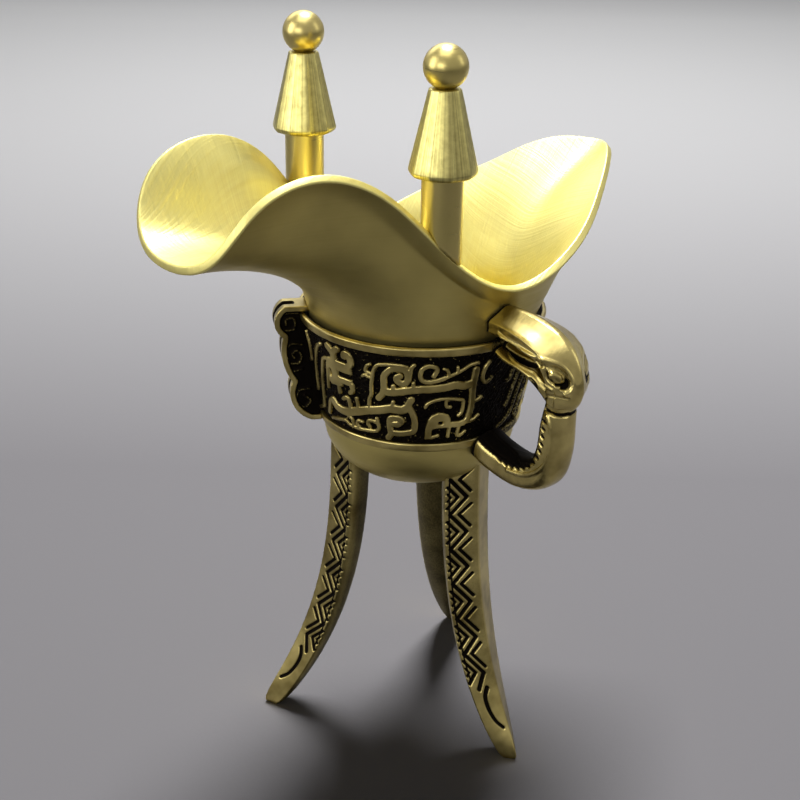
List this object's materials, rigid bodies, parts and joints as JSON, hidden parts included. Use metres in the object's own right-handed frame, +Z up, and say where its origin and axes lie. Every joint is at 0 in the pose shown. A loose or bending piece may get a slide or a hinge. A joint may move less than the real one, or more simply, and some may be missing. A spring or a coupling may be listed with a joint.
{
  "type": "jue vessel",
  "caption": "Cast brass jue wine cup on sabre-curved legs, with a pouring spout, pointed tail, capped rim posts, a beast-head handle and a relief band with scrolled ridges.",
  "frame": {"origin": "on the ground, at the centre of the circle through the three feet", "axes": "+Z up; the spout points to -X, the tail to +X and the handle to -Y"},
  "size_m": [0.0919, 0.06, 0.125],
  "materials": {
    "cup_brass": "satin antique brass, brushed bright inside the spout and the tail",
    "relief_brass": "cast relief, olive gold where it is raised, black patina in the recesses",
    "base_brass": "satin antique brass",
    "handle_brass": "cast antique brass, rubbed bright on the high places and black in the recesses",
    "leg_brass": "satin antique brass with black incised chevrons",
    "ridge_brass": "cast antique brass, black in the recesses",
    "post_brass": "polished antique brass",
    "cap_brass": "brushed antique brass",
    "ball_brass": "polished antique brass"
  },
  "bodies": {
    "root": {"cup": "cup_brass", "relief_band": "relief_brass", "base": "base_brass", "handle": "handle_brass", "leg_handle_side": "leg_brass", "leg_spout_side": "leg_brass", "leg_tail_side": "leg_brass", "ridge_spout_side": "ridge_brass", "ridge_tail_side": "ridge_brass", "post_front": "post_brass", "post_back": "post_brass", "cap_front": "cap_brass", "cap_back": "cap_brass", "ball_front": "ball_brass", "ball_back": "ball_brass"}
  },
  "joints": []
}
